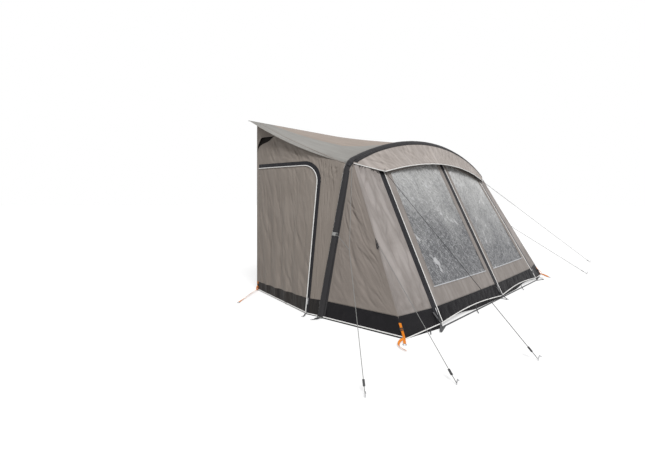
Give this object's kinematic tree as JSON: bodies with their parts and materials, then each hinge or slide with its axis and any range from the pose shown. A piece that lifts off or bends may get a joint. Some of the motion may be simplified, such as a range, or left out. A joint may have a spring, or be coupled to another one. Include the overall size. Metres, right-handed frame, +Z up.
{
  "type": "caravan awning",
  "caption": "Inflatable porch awning for a caravan's side: arched air beam, sloping windowed front with zips, side doors, skirts, guy lines and pegs.",
  "frame": {"origin": "on the ground, midway between the two sides and midway between the caravan's wall and the frontmost strap ring", "axes": "+X along the caravan, to the right seen from outside; +Y from the front towards the caravan's wall; +Z up"},
  "size_m": [7.3658, 3.4986, 2.4034],
  "materials": {
    "sleeve_cloth": "woven sleeve cloth, charcoal",
    "bladder_film": "milky flexible film",
    "black_plastic": "moulded, fine texture",
    "skirt_cloth": "satin coated cloth, near black",
    "roof_cloth": "matt coated woven cloth, grey",
    "keder_vinyl": "smooth welt tape, off white",
    "brow_cloth": "matt coated woven cloth, light taupe",
    "wall_cloth": "matt coated woven cloth, taupe",
    "window_film": "glossy tinted flexible film",
    "strip_tape": "dark tape",
    "zinc_metal": "zinc plated",
    "pad_foam": "cloth-covered foam",
    "webbing_grey": "flat woven webbing, grey",
    "webbing_orange": "flat woven webbing, orange",
    "guy_braid": "braided cord, mid grey"
  },
  "bodies": {
    "awning": {"beam_bladder": "bladder_film", "beam_foot_left": "skirt_cloth", "beam_foot_right": "skirt_cloth", "beam_sleeve": "sleeve_cloth", "brow_panel": "brow_cloth", "corner_panel_left": "wall_cloth", "corner_panel_right": "wall_cloth", "corner_strap_front_left": "webbing_orange", "corner_strap_front_right": "webbing_orange", "corner_strap_rear_left": "webbing_orange", "corner_strap_rear_right": "webbing_orange", "door_zip_cover_left": "strip_tape", "door_zip_cover_right": "strip_tape", "draught_flap": "skirt_cloth", "front_skirt": "skirt_cloth", "ground_webbing": "webbing_grey", "guy_branch": "guy_braid", "guy_line_left_brow": "guy_braid", "guy_line_left_crease": "guy_braid", "guy_line_right_brow": "guy_braid", "guy_line_right_crease": "guy_braid", "guy_line_shoulder": "guy_braid", "guy_peg_left_brow": "zinc_metal", "guy_peg_left_crease": "zinc_metal", "guy_peg_right_brow": "zinc_metal", "guy_peg_right_crease": "zinc_metal", "guy_peg_shoulder": "zinc_metal", "keder_strip": "keder_vinyl", "rear_pad_left": "pad_foam", "rear_pad_right": "pad_foam", "roof_panel": "roof_cloth", "side_skirt_left": "skirt_cloth", "side_skirt_right": "skirt_cloth", "side_wall_front_left": "wall_cloth", "side_wall_front_right": "wall_cloth", "side_wall_rear_left": "wall_cloth", "side_wall_rear_right": "wall_cloth", "valve_body": "black_plastic", "vent_hood_left": "wall_cloth", "vent_hood_right": "wall_cloth", "window_film_left": "window_film", "window_film_right": "window_film", "window_panel_left": "wall_cloth", "window_panel_right": "wall_cloth", "zip_cover_centre": "strip_tape", "zip_cover_left": "strip_tape", "zip_cover_right": "strip_tape"},
    "door_left": {"side_door_left": "wall_cloth"},
    "door_right": {"side_door_right": "wall_cloth"},
    "front_slider_left": {"front_zip_slider_left": "zinc_metal"},
    "front_slider_centre": {"front_zip_slider_centre": "zinc_metal"},
    "front_slider_right": {"front_zip_slider_right": "zinc_metal"},
    "door_slider_left": {"door_zip_slider_left": "zinc_metal"},
    "door_slider_right": {"door_zip_slider_right": "zinc_metal"},
    "valve_lid": {"valve_cap": "black_plastic"},
    "runner_shoulder": {"guy_runner_shoulder": "black_plastic"},
    "runner_left_crease": {"guy_runner_left_crease": "black_plastic"},
    "runner_left_brow": {"guy_runner_left_brow": "black_plastic"},
    "runner_right_brow": {"guy_runner_right_brow": "black_plastic"},
    "runner_right_crease": {"guy_runner_right_crease": "black_plastic"}
  },
  "joints": [
    {"name": "door_left_swing", "type": "hinge", "parent": "awning", "child": "door_left", "pos_m": [-2.05318, 1.285, 0.9], "axis": [0.0069, 0, 1], "range_deg": [-30, 88]},
    {"name": "door_right_swing", "type": "hinge", "parent": "awning", "child": "door_right", "pos_m": [2.05318, 1.285, 0.9], "axis": [-0.0069, 0, 1], "range_deg": [-88, 30]},
    {"name": "front_zip_left", "type": "slide", "parent": "awning", "child": "front_slider_left", "axis": [0.0804, 0.4672, 0.8805], "range_m": [0, 1.1]},
    {"name": "front_zip_centre", "type": "slide", "parent": "awning", "child": "front_slider_centre", "axis": [0, 0.4321, 0.9018], "range_m": [0, 1.1]},
    {"name": "front_zip_right", "type": "slide", "parent": "awning", "child": "front_slider_right", "axis": [-0.0804, 0.4672, 0.8805], "range_m": [0, 1.1]},
    {"name": "door_zip_left", "type": "slide", "parent": "awning", "child": "door_slider_left", "axis": [0.2014, 0.0944, 0.9749], "range_m": [0, 1.05]},
    {"name": "door_zip_right", "type": "slide", "parent": "awning", "child": "door_slider_right", "axis": [-0.2014, 0.0944, 0.9749], "range_m": [0, 1.05]},
    {"name": "valve_lid_swing", "type": "hinge", "parent": "awning", "child": "valve_lid", "pos_m": [-2.06942, -0.18218, 0.36623], "axis": [0.0065, -1, 0], "range_deg": [0, 110]},
    {"name": "runner_slide_shoulder", "type": "slide", "parent": "awning", "child": "runner_shoulder", "axis": [0.5381, 0.5874, 0.6045], "range_m": [-0.03, 0.12]},
    {"name": "runner_slide_left_crease", "type": "slide", "parent": "awning", "child": "runner_left_crease", "axis": [0.3917, 0.7466, 0.5378], "range_m": [-0.03, 0.12]},
    {"name": "runner_slide_left_brow", "type": "slide", "parent": "awning", "child": "runner_left_brow", "axis": [0.1198, 0.7196, 0.684], "range_m": [-0.03, 0.12]},
    {"name": "runner_slide_right_brow", "type": "slide", "parent": "awning", "child": "runner_right_brow", "axis": [-0.8224, 0.3135, 0.4747], "range_m": [-0.03, 0.12]},
    {"name": "runner_slide_right_crease", "type": "slide", "parent": "awning", "child": "runner_right_crease", "axis": [-0.5217, 0.6544, 0.5474], "range_m": [-0.03, 0.12]}
  ]
}
